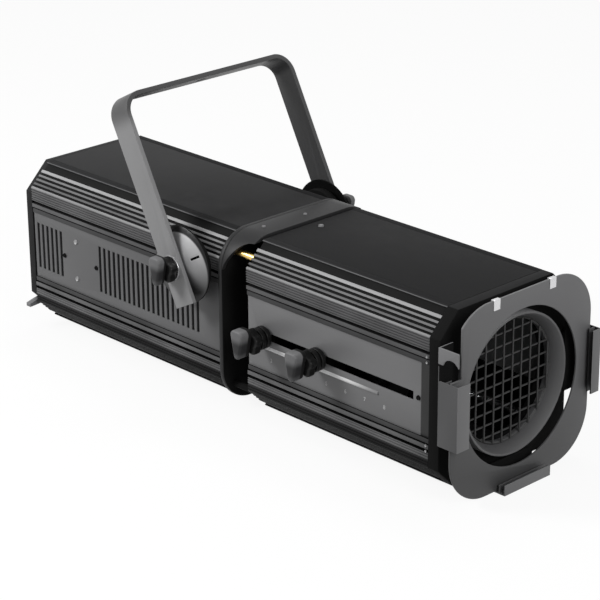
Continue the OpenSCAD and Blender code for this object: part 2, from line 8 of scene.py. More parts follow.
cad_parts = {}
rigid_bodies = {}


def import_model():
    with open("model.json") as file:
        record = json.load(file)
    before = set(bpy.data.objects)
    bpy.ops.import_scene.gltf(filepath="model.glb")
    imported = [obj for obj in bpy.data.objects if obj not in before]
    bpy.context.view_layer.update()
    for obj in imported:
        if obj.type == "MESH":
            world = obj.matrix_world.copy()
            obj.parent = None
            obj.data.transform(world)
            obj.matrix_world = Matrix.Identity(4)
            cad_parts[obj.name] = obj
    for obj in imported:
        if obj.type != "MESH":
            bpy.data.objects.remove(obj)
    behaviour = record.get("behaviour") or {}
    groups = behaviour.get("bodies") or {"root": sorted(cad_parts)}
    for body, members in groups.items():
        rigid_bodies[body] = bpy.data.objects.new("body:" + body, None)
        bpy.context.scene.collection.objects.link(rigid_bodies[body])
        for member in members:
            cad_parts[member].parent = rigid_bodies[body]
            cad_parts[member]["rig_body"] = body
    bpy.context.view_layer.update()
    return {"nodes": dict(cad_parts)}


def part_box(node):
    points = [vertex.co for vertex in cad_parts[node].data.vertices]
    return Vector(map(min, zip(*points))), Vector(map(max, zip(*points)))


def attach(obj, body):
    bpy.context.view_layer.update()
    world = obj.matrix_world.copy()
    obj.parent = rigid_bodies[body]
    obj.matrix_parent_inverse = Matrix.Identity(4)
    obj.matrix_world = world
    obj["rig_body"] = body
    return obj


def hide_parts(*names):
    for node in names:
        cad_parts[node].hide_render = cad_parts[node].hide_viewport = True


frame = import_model()
nodes = frame["nodes"]
scene = bpy.context.scene
scene.view_settings.view_transform = "Standard"


# Studio: a white floor that runs out of sight, three soft boxes and a pale room.
# The camera stands where the photograph was taken, above the front right corner.

camera = bpy.data.objects.new("camera", bpy.data.cameras.new("camera"))
camera.data.sensor_fit = "HORIZONTAL"
camera.data.sensor_width = 36.0
camera.data.lens = 136.28
camera.data.clip_end = 60.0
camera.matrix_world = Matrix((
    (0.691547, -0.263556, 0.672534, 1.98701),
    (0.722299, 0.261271, -0.640330, -1.86541),
    (-0.006950, 0.928588, 0.371047, 1.20798),
    (0, 0, 0, 1),
))
scene.collection.objects.link(camera)
scene.camera = camera


class Wire:
    """One socket of a node tree, so that shader sums read as plain Python."""

    def __init__(self, graph, socket):
        self.graph, self.socket = graph, socket

    def sum(self, operation, first, second=0.0):
        return self.graph.node("Math", {"operation": operation}, {0: first, 1: second})

    def __add__(self, other):
        return self.sum("ADD", self, other)

    def __sub__(self, other):
        return self.sum("SUBTRACT", self, other)

    def __rsub__(self, other):
        return self.sum("SUBTRACT", other, self)

    def __mul__(self, other):
        return self.sum("MULTIPLY", self, other)

    def __abs__(self):
        return self.sum("ABSOLUTE", self)

    def least(self, other):
        return self.sum("MINIMUM", self, other)

    __radd__ = __add__
    __rmul__ = __mul__


class Graph:
    """A node tree with one method that adds any node and feeds its sockets."""

    def __init__(self, tree):
        self.tree = tree

    def node(self, kind, settings=None, inputs=None, out=0):
        made = self.tree.nodes.new("ShaderNode" + kind)
        for key, value in (settings or {}).items():
            if key == "stops":
                while len(made.color_ramp.elements) < len(value):
                    made.color_ramp.elements.new(0.5)
                for stop, (place, level) in zip(made.color_ramp.elements, value):
                    stop.position, stop.color = place, (level, level, level, 1)
            else:
                setattr(made, key, value)
        for key, value in (inputs or {}).items():
            self.feed(made.inputs[key], value)
        return Wire(self, made.outputs[out])

    def feed(self, socket, value):
        if isinstance(value, Wire):
            self.tree.links.new(value.socket, socket)
        else:
            socket.default_value = value


def finish(name, **fixed):
    """A new material, its graph and its main shader; fixed sockets are set by name."""
    material = bpy.data.materials.new(name)
    material.use_nodes = True
    graph = Graph(material.node_tree)
    skin = material.node_tree.nodes["Principled BSDF"]
    for key, value in fixed.items():
        skin.inputs[key.replace("_", " ")].default_value = value
    return material, graph, skin


def grey(level, blue=None):
    """A grey as a colour, with its own blue where the finish is a little cold."""
    return (level, level, level if blue is None else blue)


def blend(graph, mask, under, over):
    """A colour from under to over as the mask goes from 0 to 1; each is a colour or a socket."""
    factor, first, second, result = 0, 6, 7, 2
    under, over = (end if isinstance(end, Wire) else (*end, 1) for end in (under, over))
    return graph.node("Mix", {"data_type": "RGBA"},
                      {factor: mask, first: under, second: over}, out=result)


def in_sight(graph):
    """1 for a ray from the camera, a gloss or a glass, 0 for the light that falls on the object."""
    kinds = "Camera", "Glossy", "Transmission"
    camera_ray, gloss_ray, glass_ray = (
        graph.node("LightPath", out=f"Is {kind} Ray") for kind in kinds)
    return graph.node("Clamp", inputs={"Value": camera_ray + gloss_ray + glass_ray})


ROOM_GLOW = 0.35
scene.world = bpy.data.worlds.new("room")
scene.world.use_nodes = True
room = Graph(scene.world.node_tree)
room_light = scene.world.node_tree.nodes["Background"]
room_light.inputs["Color"].default_value = (1, 1, 1, 1)
room.feed(room_light.inputs["Strength"], ROOM_GLOW + in_sight(room) * (1 - ROOM_GLOW))

FLOOR_REACH = 14.0
FLOOR_GLOW = 0.9
bm = bmesh.new()
bmesh.ops.create_grid(bm, x_segments=1, y_segments=1, size=FLOOR_REACH)
floor = bpy.data.objects.new("floor", bpy.data.meshes.new("floor"))
bm.to_mesh(floor.data)
bm.free()
scene.collection.objects.link(floor)
floor_paint, paper, paper_skin = finish("floor_paint", Roughness=0.9, Specular_IOR_Level=0.1)
paper.feed(paper_skin.inputs["Base Color"], blend(paper, in_sight(paper), grey(0.3), grey(0.9)))
paper_glow = paper.node("Emission", inputs={"Color": (1, 1, 1, 1), "Strength": 1.0})
paper_mix = paper.node("MixShader", inputs={
    0: in_sight(paper) * FLOOR_GLOW, 1: Wire(paper, paper_skin.outputs[0]), 2: paper_glow})
paper.feed(floor_paint.node_tree.nodes["Material Output"].inputs["Surface"], paper_mix)
floor.data.materials.append(floor_paint)


def soft_box(name, place, aim, size, watts):
    """A lamp with a rectangular face, standing at place and turned to aim."""
    lamp = bpy.data.objects.new(name, bpy.data.lights.new(name, "AREA"))
    lamp.data.shape = "RECTANGLE"
    lamp.data.size, lamp.data.size_y = size
    lamp.data.energy = watts
    turn = (Vector(place) - Vector(aim)).to_track_quat("Z", "Y").to_matrix().to_4x4()
    lamp.matrix_world = Matrix.Translation(place) @ turn
    scene.collection.objects.link(lamp)


soft_box("key_box", place=(-1.4, -2.0, 1.75), aim=(-0.05, 0, 0.15), size=(0.9, 0.8), watts=62)
soft_box("front_box", place=(2.6, -0.6, 1.5), aim=(0.1, 0, 0.12), size=(1.2, 1.2), watts=34)
soft_box("top_box", place=(-0.2, 0.9, 2.6), aim=(0, 0, 0.2), size=(1.6, 0.8), watts=16)


# Corner rails: aluminium extrusions with a ribbed slope, fine ribs and a deep groove, that
# all other pieces of the lamp house and the lens tube are fixed to. They are anodised black,
# with drawing lines along their length. Painted highlights brighten the rib crests, and painted
# shade darkens the valleys, the ledges, the faces below the lower groove and the whole lower pair.

TUBE_REAR = 0.0495  # where the lens tube begins along the beam
AXIS = 0.1248  # height of the beam
HALF = 0.1125  # from the beam to a flat side of the section
SLOPE = 0.030  # what the sloped corner takes off each side
SLANT = 0.7071  # cosine of the slope's 45 degrees
GROOVE_Z = -0.0742, -0.0718  # edge of the lower groove, from the beam
ROUND_ABOVE = math.radians(30)
SMOOTH_BELOW = math.radians(38)


def coordinate(graph, axis):
    """The object's own X, Y or Z at a point of its surface, in metres."""
    return graph.node("SeparateXYZ", inputs={0: graph.node("TexCoord", out="Object")}, out=axis)


def grain(graph, scale, stretch=(1, 1, 1), detail=2.0):
    """Noise between 0 and 1 on the object's own coordinates, scale in cells per metre."""
    place = graph.node("TexCoord", out="Object")
    drawn = graph.node("Mapping", inputs={"Vector": place, "Scale": stretch})
    return graph.node("TexNoise", inputs={"Vector": drawn, "Scale": scale, "Detail": detail})


def ramp_up(graph, value, low, high):
    """0 below low and 1 above high, smooth between."""
    return graph.node("MapRange", {"interpolation_type": "SMOOTHSTEP"},
                      {"Value": value, "From Min": low, "From Max": high})


def relief(graph, skin, height, depth, strength=1.0):
    """Raises the surface by depth in metres where the height is 1."""
    graph.feed(skin.inputs["Normal"], graph.node(
        "Bump", inputs={"Strength": strength, "Distance": depth, "Height": height}))


def round_off(bm, width, segments=2, above=ROUND_ABOVE):
    """Rounds every edge of a mesh that turns by more than an angle."""
    edges = [edge for edge in bm.edges
             if len(edge.link_faces) == 2 and edge.calc_face_angle() > above]
    bmesh.ops.bevel(bm, geom=edges, offset=width, offset_type="OFFSET", segments=segments,
                    profile=0.5, affect="EDGES", clamp_overlap=True, material=-1)


def piece(name, bm, body, material, node=None):
    """Makes a mesh an object that rides on a body, and stands for a node if one is named."""
    for face in bm.faces:
        face.smooth = True
    for edge in bm.edges:
        edge.smooth = len(edge.link_faces) == 2 and edge.calc_face_angle() < SMOOTH_BELOW
    mesh = bpy.data.meshes.new(name)
    bm.to_mesh(mesh)
    bm.free()
    made = bpy.data.objects.new(name, mesh)
    scene.collection.objects.link(made)
    mesh.materials.append(material)
    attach(made, body)
    if node:
        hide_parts(node)
    return made


def softened(node, material, edge, segments=2):
    """Stands a copy of a solid in its place, its edges rounded by edge."""
    solid = nodes[node]
    bm = bmesh.new()
    bm.from_mesh(solid.data)
    bmesh.ops.remove_doubles(bm, verts=bm.verts, dist=1e-6)
    bmesh.ops.dissolve_limit(bm, angle_limit=math.radians(1), verts=bm.verts, edges=bm.edges)
    round_off(bm, edge, segments)
    return piece(node + "_dressed", bm, solid["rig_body"], material, node)


def drawn_rail(name, specular, low, high):
    """Black anodised extrusion with drawing lines; painted shade in the valleys, on the ledges and
    below the groove, and painted highlights on the rib crests.
    """
    material, g, skin = finish(name, Specular_IOR_Level=specular)
    lines = grain(g, 900, (0.01, 1, 1), 3)
    cloud = grain(g, 16)
    across = abs(coordinate(g, "Y"))
    rise = coordinate(g, "Z") - AXIS
    height = abs(rise)
    below_slope = (2 * HALF - SLOPE - (across + height)) * SLANT
    # Painted shade: the valleys between the ribs and the ledges beside the covers are darkened.
    shaded_valley = ramp_up(g, (HALF - across).least(below_slope), 0.0007, 0.0017)
    shaded_ledge = ramp_up(g, height, HALF - 0.001, HALF - 0.0003)
    # Painted highlights on the rib crests, brightest on the first crest and on the lower bead.
    highlight_over_slope = (
        (0.28, 0), (0.31, 0.85), (0.42, 0.85), (0.46, 0.3), (0.6, 0.3),
        (0.64, 0.18), (0.74, 0.18), (0.78, 0.05), (0.9, 0.05), (0.93, 0.55))
    ribs = g.node("ValToRGB", {"stops": highlight_over_slope},
                  {0: (across - (HALF - SLOPE)) * (1 / SLOPE)})
    crest = 1 - ramp_up(g, below_slope, 0.0003, 0.0012)
    highlight_blend = ribs * crest * (1 - shaded_ledge) * (0.55 + lines * 0.6)
    # Painted shade: below the lower groove the black is darker and the crests lose their highlights.
    lit_above_groove = ramp_up(g, rise, *GROOVE_Z)
    black = blend(g, (0.35 + cloud * 0.65) * (0.08 + lit_above_groove * 0.92), low, high)
    black = blend(g, shaded_valley, black, grey(0.003))
    black = blend(g, shaded_ledge, black, grey(0.011, 0.0115))
    colour = blend(g, highlight_blend * (0.05 + lit_above_groove * 0.95), black, grey(0.4, 0.405))
    g.feed(skin.inputs["Base Color"], colour)
    g.feed(skin.inputs["Roughness"], 0.36 + lines * 0.12 + cloud * 0.1 + shaded_valley * 0.3 + shaded_ledge * 0.35)
    relief(g, skin, lines, 0.00008, 0.5)
    return material


upper_rail_black = drawn_rail("upper_rail_black", 0.16, grey(0.01), grey(0.13, 0.133))
# The lower pair get a shaded copy of the finish, darker and less glossy, as painted shade.
shaded_lower_rail_black = drawn_rail("shaded_lower_rail_black", 0.03, grey(0.006), grey(0.19, 0.193))
for end in ("house", "tube"):
    for side in ("near", "far"):
        softened(f"{end}_rail_{side}_top", upper_rail_black, edge=0.0004)
        softened(f"{end}_rail_{side}_bottom", shaded_lower_rail_black, edge=0.0004)


# Covers: flat steel sheets that close the lamp house and the lens tube above and below.
# They lie on the rails' shelves, in a fine-textured black coat; painted shade blackens their cut
# edges.

def mottle(graph, specks, cells):
    """Fine grit and soft clouds, both in cells per metre, and the uneven gloss they make."""
    speck = grain(graph, specks, detail=1.5)
    cloud = grain(graph, cells, detail=4)
    return speck, cloud, (cloud - 0.5) * 0.16 + (speck - 0.5) * 0.14


def textured_coat(name, low, high, rough, grit=0.0007, depth=0.00012, specular=0.35, cells=11):
    """A baked powder coat: fine grit, soft clouds of tone and a slightly uneven gloss."""
    material, g, skin = finish(name, Specular_IOR_Level=specular)
    speck, cloud, uneven = mottle(g, 1 / grit, cells)
    g.feed(skin.inputs["Base Color"], blend(g, cloud * 0.75 + speck * 0.25, low, high))
    g.feed(skin.inputs["Roughness"], rough + uneven)
    relief(g, skin, speck, depth)
    return material


def paint_faces(made, material, picked):
    """Gives a second material to the faces that a rule picks."""
    made.data.materials.append(material)
    for face in made.data.polygons:
        face.material_index = int(picked(face))


cover_black = textured_coat("cover_black", grey(0.003), grey(0.031, 0.032),
                            rough=0.7, specular=0.12, cells=48)
tube_cover_black = textured_coat("tube_cover_black", grey(0.007, 0.0073), grey(0.015, 0.0155),
                                 rough=0.7, specular=0.08, cells=48)
# A matt black for parts that are black, also used as painted shade on faces that stand in shade.
matt_black_and_painted_shade = textured_coat("matt_black_and_painted_shade", grey(0.005), grey(0.009),
                           rough=0.85, grit=0.0008, depth=0.0001, specular=0.06)
for level in ("top", "bottom"):
    for sheet in (softened(f"house_{level}_cover", cover_black, edge=0.0002),
                  softened(f"tube_{level}_cover", tube_cover_black, edge=0.0001)):
        # Painted shade on the sheets' edge faces.
        paint_faces(sheet, matt_black_and_painted_shade, lambda face: abs(face.normal.z) < 0.9)


# Side panels: steel sheets in satin black, slid endwise into the slots of the rails.
# The lamp house's have two groups of louvre slots, and the lens tube's near one has the knob
# slot. The tube's are a little paler, and painted shade darkens them where they go under the front
# cap.

SHADE_UNDER_CAP = TUBE_REAR + 0.2945, TUBE_REAR + 0.2962
panel_black, g, skin = finish("panel_black", Specular_IOR_Level=0.42)
speck, cloud, uneven = mottle(g, 1100, 11)
along = coordinate(g, "X")
on_tube = ramp_up(g, along, TUBE_REAR - 0.02, TUBE_REAR)
tone = (cloud * 0.75 + speck * 0.25) * 0.35 + on_tube * 0.5
satin = blend(g, tone, grey(0.081, 0.083), grey(0.17, 0.173))
# Painted shade where the tube's panels go under the front cap.
g.feed(skin.inputs["Base Color"], blend(g, ramp_up(g, along, *SHADE_UNDER_CAP), satin, grey(0.004)))
g.feed(skin.inputs["Roughness"], 0.46 + uneven)
relief(g, skin, speck, 0.00006)
for node in ("house_panel_near", "house_panel_far", "tube_panel_near", "tube_panel_far"):
    softened(node, panel_black, edge=0.0003)


# Louvre blades: strips of the lamp house's panels, pressed inwards behind each slot.
# They stand at a slant, so that warm air gets out and light doesn't.

BLADE_SIZE = 0.0062, 0.0008, 0.065
BLADE_SLANT = math.radians(-38)
BLADE_Y = 0.1057
LOUVRE_PITCH = 0.0098
LOUVRE_GROUPS = (-0.424, 6), (-0.292, 21)  # first slot from the tube's rear end, and count
for side, out in (("near", -1), ("far", 1)):
    bm = bmesh.new()
    turn = Matrix.Rotation(out * BLADE_SLANT, 4, "Z")
    for first, count in LOUVRE_GROUPS:
        for k in range(count):
            move = Matrix.Translation((TUBE_REAR + first + k * LOUVRE_PITCH, out * BLADE_Y, AXIS))
            bmesh.ops.create_cube(
                bm, size=1.0, matrix=move @ turn @ Matrix.Diagonal((*BLADE_SIZE, 1)))
    # The blades take the covers' darker black instead of the panels' own, as painted shade in the
    # slots.
    piece(f"louvre_blades_{side}", bm, "housing", cover_black)


# Rear end: a shallow pressed pan with vents closes the lamp house, its rim inside the rails.
# A tapered steel catch holds its lower corner, and the mains cable enters by a plastic gland.

catch_grey = textured_coat("catch_grey", grey(0.11, 0.113), grey(0.17, 0.174),
                           rough=0.46, grit=0.0012, depth=0.00005, specular=0.5)
gland_black = textured_coat("gland_black", grey(0.014), grey(0.024),
                            rough=0.5, grit=0.0015, depth=0.00004)
softened("rear_cover", cover_black, edge=0.0012, segments=3)
softened("cover_catch", catch_grey, edge=0.0006)
softened("cable_gland", gland_black, edge=0.0006)


# Light source: a quartz lamp in a ceramic holder, on a bare sheet bulkhead across the lamp house.
# A spun bowl of polished aluminium with small facets throws the light forward.

def repaint(node, material):
    """Gives a solid a material and leaves its shape as it is."""
    for place in nodes[node].material_slots:
        place.material = material


def clear_glass(name, tint, specular=0.5):
    """Clear glass with a faint haze."""
    material, g, skin = finish(name, Transmission_Weight=1.0, IOR=1.5, Specular_IOR_Level=specular)
    haze = grain(g, 30)
    g.feed(skin.inputs["Base Color"], blend(g, haze, tint, (0.97, 0.98, 0.98)))
    g.feed(skin.inputs["Roughness"], haze * 0.05)
    return material


bare_sheet, g, skin = finish("bare_sheet", Metallic=1.0)
lines = grain(g, 700, (1, 0.02, 1), 3)
g.feed(skin.inputs["Base Color"], blend(g, lines, grey(0.5, 0.51), grey(0.62, 0.63)))
g.feed(skin.inputs["Roughness"], 0.32 + lines * 0.2)
ceramic = textured_coat("ceramic", (0.7, 0.67, 0.62), (0.8, 0.78, 0.73),
                        rough=0.35, grit=0.002, depth=0.00003, specular=0.5)
bowl_silver, g, skin = finish("bowl_silver", Metallic=1.0)
facet = g.node("TexVoronoi", inputs={"Scale": 120.0, "Vector": g.node("TexCoord", out="Object")})
g.feed(skin.inputs["Base Color"], blend(g, facet, grey(0.86, 0.87), grey(0.78, 0.8)))
g.feed(skin.inputs["Roughness"], 0.08 + facet * 0.12)
quartz = clear_glass("quartz", (0.93, 0.95, 0.97))
repaint("lamp_bulkhead", bare_sheet)
repaint("lampholder", ceramic)
repaint("reflector", bowl_silver)
repaint("lamp", quartz)


# Gate: a cast flange and round-backed bars bridge the lamp house and the lens tube,
# with brass studs at the corners and a matt black box round the aperture.
# Painted shade blackens the flange's front and the lower studs.

saddle_black = textured_coat("saddle_black", grey(0.013, 0.0135), grey(0.022, 0.0225),
                             rough=0.5, grit=0.001, depth=0.00008, specular=0.2)
turned_brass, g, skin = finish("turned_brass", Metallic=1.0)
rings = grain(g, 1500, (1, 0.05, 0.05), 2)
g.feed(skin.inputs["Base Color"], blend(g, rings, (0.72, 0.47, 0.13), (0.86, 0.62, 0.24)))
g.feed(skin.inputs["Roughness"], 0.2 + rings * 0.15)
collar = softened("gate_collar", saddle_black, edge=0.0025, segments=4)
# Painted shade on the flange's front faces.
paint_faces(collar, matt_black_and_painted_shade, lambda face: face.normal.x > 0.8)
softened("gate_bridges", saddle_black, edge=0.0022, segments=4)
for node in ("gate_plate", "gate_box", "tube_rear_plate"):
    softened(node, matt_black_and_painted_shade, edge=0.0004)
studs = softened("spacer_studs", turned_brass, edge=0.0006)
# Painted shade on the studs below the beam.
paint_faces(studs, matt_black_and_painted_shade, lambda face: face.center.z < AXIS)


# Guide rods and scale strip: two ground steel rods run through the tube for the lenses.
# A narrow steel strip with a sloped upper face is fixed beside the knob slot, on the near panel.
# A painted highlight makes it nearly white at the back, fading to dull grey towards the front.

STRIP_FALL = 0.0026  # how far the sloped face drops on its outer side
STRIP_HIGHLIGHT_FADE = 0.165, 0.28  # where the painted highlight starts to fade along the beam, and where it is gone
bright_steel, g, skin = finish("bright_steel", Metallic=1.0)
lines = grain(g, 1100, (0.02, 1, 1), 3)
smear = grain(g, 25)
g.feed(skin.inputs["Base Color"], blend(g, smear, grey(0.6, 0.61), grey(0.74, 0.75)))
g.feed(skin.inputs["Roughness"], 0.16 + lines * 0.16 + smear * 0.08)
repaint("guide_rods", bright_steel)
scale_steel, g, skin = finish("scale_steel", Specular_IOR_Level=0.6)
# Painted highlight: nearly white at the back, fading to the panel's grey towards the front.
highlight_blend = ramp_up(g, coordinate(g, "X"), *STRIP_HIGHLIGHT_FADE) + (grain(g, 90, (0.2, 1, 1), 3) - 0.5) * 0.2
g.feed(skin.inputs["Base Color"], blend(g, highlight_blend, grey(0.95, 0.955), grey(0.14, 0.142)))
g.feed(skin.inputs["Roughness"], 0.42 + highlight_blend * 0.1)
strip_low, strip_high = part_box("scale_rail")
strip_mid = (strip_low + strip_high) / 2
bm = bmesh.new()
bmesh.ops.create_cube(bm, size=1.0, matrix=Matrix.Translation(strip_mid)
                      @ Matrix.Diagonal((*(strip_high - strip_low), 1)))
for vert in bm.verts:
    if vert.co.y < strip_mid.y and vert.co.z > strip_mid.z:
        vert.co.z -= STRIP_FALL
round_off(bm, 0.0002, above=0)
piece("scale_strip", bm, "housing", scale_steel, "scale_rail")


# Lens carriages: cast plates with bushes on the guide rods, blackened against stray light.
# Each holds a lens of clear glass, flat behind and domed in front, in a step.

lens_glass = clear_glass("lens_glass", (0.9, 0.95, 0.96), specular=0.12)
for end in ("rear", "front"):
    softened(f"lens_carrier_{end}", matt_black_and_painted_shade, edge=0.0006)
    repaint(f"lens_{end}", lens_glass)


# Clamp knobs: moulded black five-lobed grips, those of the lenses on a steel stud with
# stacked discs. Each has a three-cornered cap, black at its shoulder and dark beyond, with
# painted highlights that make it grey towards its top and bottom. Each screws up to lock a lens or
# the tilt.

PIVOT_X, PIVOT_Z = TUBE_REAR - 0.104, AXIS + 0.063
LOBES, GRIP_R, LOBE_R, GRIP_LENGTH = 5, 0.0152, 0.0018, 0.013
TILT_GRIP_Y, LENS_GRIP_Y = 0.1463, 0.1275
LENS_KNOBS = ("rear", TUBE_REAR + 0.031), ("front", TUBE_REAR + 0.127)
STUD_TURNING = (0.0955, 0.034, 0.004), (0.1098, 0.0015, 0.0112)  # start, length and radius
HUB_TURNING = ((0.1112, 0.0014, 0.0105), (0.1124, 0.0062, 0.0146), (0.1186, 0.0022, 0.0120),
               (0.1208, 0.0060, 0.0146), (0.1266, 0.0014, 0.0120))


def moulded(name, specular):
    """A moulding's material, its graph and shader, with a fine grain and patches of wear."""
    material, g, skin = finish(name, Specular_IOR_Level=specular)
    relief(g, skin, grain(g, 1200), 0.00005)
    return material, g, skin, grain(g, 60, detail=3)


def highlighted_cap(name, height, shoulder):
    """The cap's moulding: black up to its shoulder, dark beyond, with painted highlights that make
    it grey towards its top and bottom, patchy with wear.
    """
    material, g, skin, worn = moulded(name, 0.18)
    rise = coordinate(g, "Z") - height
    # Painted highlights towards the top and bottom of the cap.
    highlight_top_and_bottom = ramp_up(g, rise, 0.001, 0.012) + ramp_up(g, 0 - rise, 0.007, 0.014) * 0.45
    cap_grey = blend(g, highlight_top_and_bottom * (0.8 + worn * 0.4), grey(0.02, 0.021), grey(0.135, 0.138))
    collar = 1 - ramp_up(g, abs(coordinate(g, "Y")), shoulder - 0.0004, shoulder + 0.0004)
    g.feed(skin.inputs["Base Color"], blend(g, collar, cap_grey, grey(0.006)))
    g.feed(skin.inputs["Roughness"], 0.38 + worn * 0.15 + collar * 0.1)
    return material


def lobed_star(node, x, z, side, start):
    """The five-lobed grip, waved round its rim and rounded over front and back."""
    bm = bmesh.new()
    bmesh.ops.create_circle(bm, cap_ends=True, segments=100, radius=1.0)
    for vert in bm.verts:
        swell = GRIP_R + LOBE_R * math.cos(LOBES * math.atan2(vert.co.x, vert.co.y))
        vert.co = Vector((x + vert.co.x * swell, side * start, z + vert.co.y * swell))
    risen = bmesh.ops.extrude_face_region(bm, geom=bm.faces[:])["geom"]
    bmesh.ops.translate(bm, vec=(0, side * GRIP_LENGTH, 0),
                        verts=[part for part in risen if isinstance(part, bmesh.types.BMVert)])
    bmesh.ops.recalc_face_normals(bm, faces=bm.faces)
    round_off(bm, 0.003, 4)
    return piece(node + "_grip", bm, nodes[node]["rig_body"], knob_black, node)


def turned_stack(name, x, turning, body, material, edge, segments=2):
    """Discs and lengths of bar on a lens knob's axis, turned from one piece."""
    bm = bmesh.new()
    for start, length, radius in turning:
        move = Matrix.Translation((x, -(start + length / 2), AXIS))
        bmesh.ops.create_cone(bm, cap_ends=True, segments=40, radius1=radius, radius2=radius,
                              depth=length, matrix=move @ Matrix.Rotation(math.pi / 2, 4, "X"))
    round_off(bm, edge, segments)
    return piece(name, bm, body, material)


dull_steel = textured_coat("dull_steel", grey(0.3, 0.305), grey(0.42, 0.425),
                           rough=0.42, grit=0.0012, depth=0.00003, specular=0.5)
knob_black, g, skin, worn = moulded("knob_black", 0.16)
g.feed(skin.inputs["Base Color"], blend(g, worn, grey(0.004), grey(0.009)))
g.feed(skin.inputs["Roughness"], 0.3 + worn * 0.15)
lens_cap_grey = highlighted_cap("lens_cap_grey", height=AXIS, shoulder=0.1475)
tilt_cap_grey = highlighted_cap("tilt_cap_grey", height=PIVOT_Z, shoulder=0.1645)
lobed_star("tilt_knob_near", PIVOT_X, PIVOT_Z, -1, TILT_GRIP_Y)
lobed_star("tilt_knob_far", PIVOT_X, PIVOT_Z, 1, TILT_GRIP_Y)
for end, x in LENS_KNOBS:
    lobed_star(f"lens_knob_{end}", x, AXIS, -1, LENS_GRIP_Y)
    body = nodes[f"lens_knob_{end}"]["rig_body"]
    turned_stack(f"lens_stud_{end}", x, STUD_TURNING, body, dull_steel, edge=0.0004)
    turned_stack(f"lens_hub_{end}", x, HUB_TURNING, body, knob_black, edge=0.0009, segments=3)
for cap, coat in (("lens_cap_rear", lens_cap_grey), ("lens_cap_front", lens_cap_grey),
                  ("tilt_cap_near", tilt_cap_grey), ("tilt_cap_far", tilt_cap_grey)):
    softened(cap, coat, edge=0.0028, segments=4)


# Front end: a cast cap closes the tube, coated like its cover on top and black with painted shade
# elsewhere.
# A turned ring with a flared mouth is pressed into it and holds the safety mesh.

RING_SECTION = (  # along the beam from the tube's rear end, and radius
    (0.323, 0.0765), (0.323, 0.0837), (0.327, 0.0837), (0.327, 0.089), (0.346, 0.089),
    (0.346, 0.0865), (0.3316, 0.0791), (0.330, 0.0791), (0.330, 0.0765))


def lathe(bm, section, steps):
    """Spins a closed section of vertices round the beam's axis."""
    edges = [edge for edge in bm.edges if edge.verts[0] in section]
    bmesh.ops.spin(bm, geom=section + edges, cent=(0, 0, AXIS), axis=(1, 0, 0),
                   angle=2 * math.pi, steps=steps, use_merge=True)
    bmesh.ops.recalc_face_normals(bm, faces=bm.faces)


front = softened("front_cap", matt_black_and_painted_shade, edge=0.001, segments=3)
# Painted shade on all faces of the cap but its top.
paint_faces(front, tube_cover_black, lambda face: face.normal.z > 0.9)
ring_grey = textured_coat("ring_grey", grey(0.07, 0.072), grey(0.11, 0.112),
                          rough=0.45, grit=0.0009, depth=0.00006, specular=0.4)
bm = bmesh.new()
section = bmesh.ops.create_circle(bm, segments=len(RING_SECTION), radius=1.0)["verts"]
for vert, (x, radius) in zip(section, RING_SECTION):
    vert.co = Vector((TUBE_REAR + x, 0, AXIS + radius))
lathe(bm, section, 128)
round_off(bm, 0.0006, 3)
piece("mesh_ring_turned", bm, "housing", ring_grey, "mesh_ring")


# Safety mesh: straight steel wires, one layer upright and one lying, spot welded where they cross.
# A flat rim holds their ends, and the whole is blackened and pressed into the ring.

MESH_PITCH, MESH_REACH, WIRE_R = 0.0158, 0.0775, 0.00125
LAYER = WIRE_R * 0.7
RIM_R, RIM_GAUGE = 0.0778, 0.0011


def straight_wire(bm, off_centre, place, turn):
    """A straight wire across the round mesh, as long as the rim allows."""
    length = 2 * math.sqrt(MESH_REACH ** 2 - off_centre ** 2)
    bmesh.ops.create_cone(bm, cap_ends=True, segments=10, radius1=WIRE_R, radius2=WIRE_R,
                          depth=length, matrix=Matrix.Translation(place) @ turn)


mesh_wire, g, skin = finish("mesh_wire", Metallic=0.3)
dull = grain(g, 300)
g.feed(skin.inputs["Base Color"], blend(g, dull, grey(0.022), grey(0.04)))
g.feed(skin.inputs["Roughness"], 0.5 + dull * 0.2)
mesh_low, mesh_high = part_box("safety_mesh")
plane = (mesh_low.x + mesh_high.x) / 2
bm = bmesh.new()
for k in range(-4, 5):
    z = k * MESH_PITCH
    straight_wire(bm, z, (plane - LAYER, 0, AXIS + z), Matrix.Rotation(math.pi / 2, 4, "X"))
for k in range(-5, 5):
    y = (k + 0.5) * MESH_PITCH
    straight_wire(bm, y, (plane + LAYER, y, AXIS), Matrix.Identity(4))
square = bmesh.ops.create_circle(bm, segments=4, radius=RIM_GAUGE)["verts"]
for vert in square:
    vert.co = Vector((plane + vert.co.x, 0, AXIS + RIM_R + vert.co.y))
lathe(bm, square, 96)
piece("welded_mesh", bm, "housing", mesh_wire, "safety_mesh")


# Colour frame runners: channels bent from steel strip, on short posts in front of the cap.
# An arched keeper above the near runner holds the frame in. Their front lips are paler,
# and painted shade blackens their feet and the inside of the far one.

